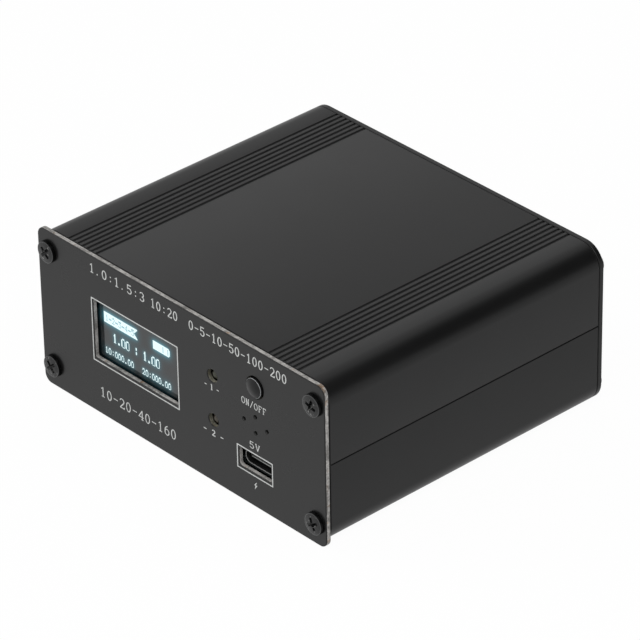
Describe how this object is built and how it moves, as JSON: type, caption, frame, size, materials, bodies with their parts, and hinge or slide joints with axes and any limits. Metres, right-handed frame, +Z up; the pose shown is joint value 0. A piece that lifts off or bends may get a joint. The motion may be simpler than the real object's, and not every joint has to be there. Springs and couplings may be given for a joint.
{
  "type": "swr meter",
  "caption": "Compact radio SWR and power meter in a split aluminium case with a display, a power button, a charging port and two rear coax sockets.",
  "frame": {"origin": "centre of the case's underside, on the surface that it stands on", "axes": "+X to the right seen from the front, +Y from the front plate to the rear plate, +Z up"},
  "size_m": [0.088, 0.0897, 0.038],
  "materials": {
    "case_finish": "fine matte black anodised",
    "plate_face": "matte black lacquer over brown board",
    "screw_black": "black oxide",
    "screw_steel": "bright zinc",
    "button_plastic": "fine matte",
    "black_plastic": "matte",
    "spring_steel": "bright",
    "display_glass": "polished",
    "foam": "matte",
    "ribbon_film": "glossy film",
    "board": "solder mask",
    "work_lens": "diffused epoxy",
    "charge_lens": "diffused epoxy",
    "nickel": "nickel plate",
    "gold": "gold flash",
    "chip": "moulded",
    "can_blue": "sleeved",
    "ferrite": "ferrite",
    "cell_foil": "satin foil",
    "lead_cover": "silicone",
    "ivory_plastic": "moulded",
    "core_paint": "painted",
    "enamelled_copper": "enamelled",
    "line_copper": "bare copper",
    "insulator": "moulded"
  },
  "bodies": {
    "case": {"upper_shell": "case_finish", "lower_shell": "case_finish", "front_plate": "plate_face", "rear_plate": "plate_face", "front_screws": "screw_black", "rear_screws": "screw_black", "switch_housing": "black_plastic", "switch_cover": "spring_steel", "switch_dome": "spring_steel", "display_panel": "display_glass", "display_cushion": "foam", "display_ribbon": "ribbon_film", "front_board": "board", "work_lamp": "work_lens", "charge_lamp": "charge_lens", "buzzer": "black_plastic", "usb_shell": "nickel", "usb_tongue": "black_plastic", "main_board": "board", "link_strip": "black_plastic", "link_pins": "gold", "processor": "chip", "charger_chip": "chip", "regulator": "chip", "power_inductor": "ferrite", "buffer_capacitor": "can_blue", "detector_diodes": "chip", "battery_cell": "cell_foil", "battery_pad": "foam", "battery_leads": "lead_cover", "battery_plug": "ivory_plastic", "battery_socket": "ivory_plastic", "forward_core": "core_paint", "forward_winding": "enamelled_copper", "reflected_core": "core_paint", "reflected_winding": "enamelled_copper", "core_cradle": "ivory_plastic", "through_line": "line_copper", "input_socket": "nickel", "input_flange": "nickel", "input_insulator": "insulator", "input_contact": "gold", "output_socket": "nickel", "output_flange": "nickel", "output_insulator": "insulator", "output_contact": "gold", "socket_screws": "screw_steel", "socket_nuts": "screw_steel"},
    "button": {"power_button": "button_plastic", "switch_plunger": "black_plastic"}
  },
  "joints": [
    {"name": "power_press", "type": "slide", "parent": "case", "child": "button", "axis": [0, 1, 0], "range_m": [0, 0.00025], "stiffness_N_per_m": 3000, "springref_m": -0.0001}
  ]
}
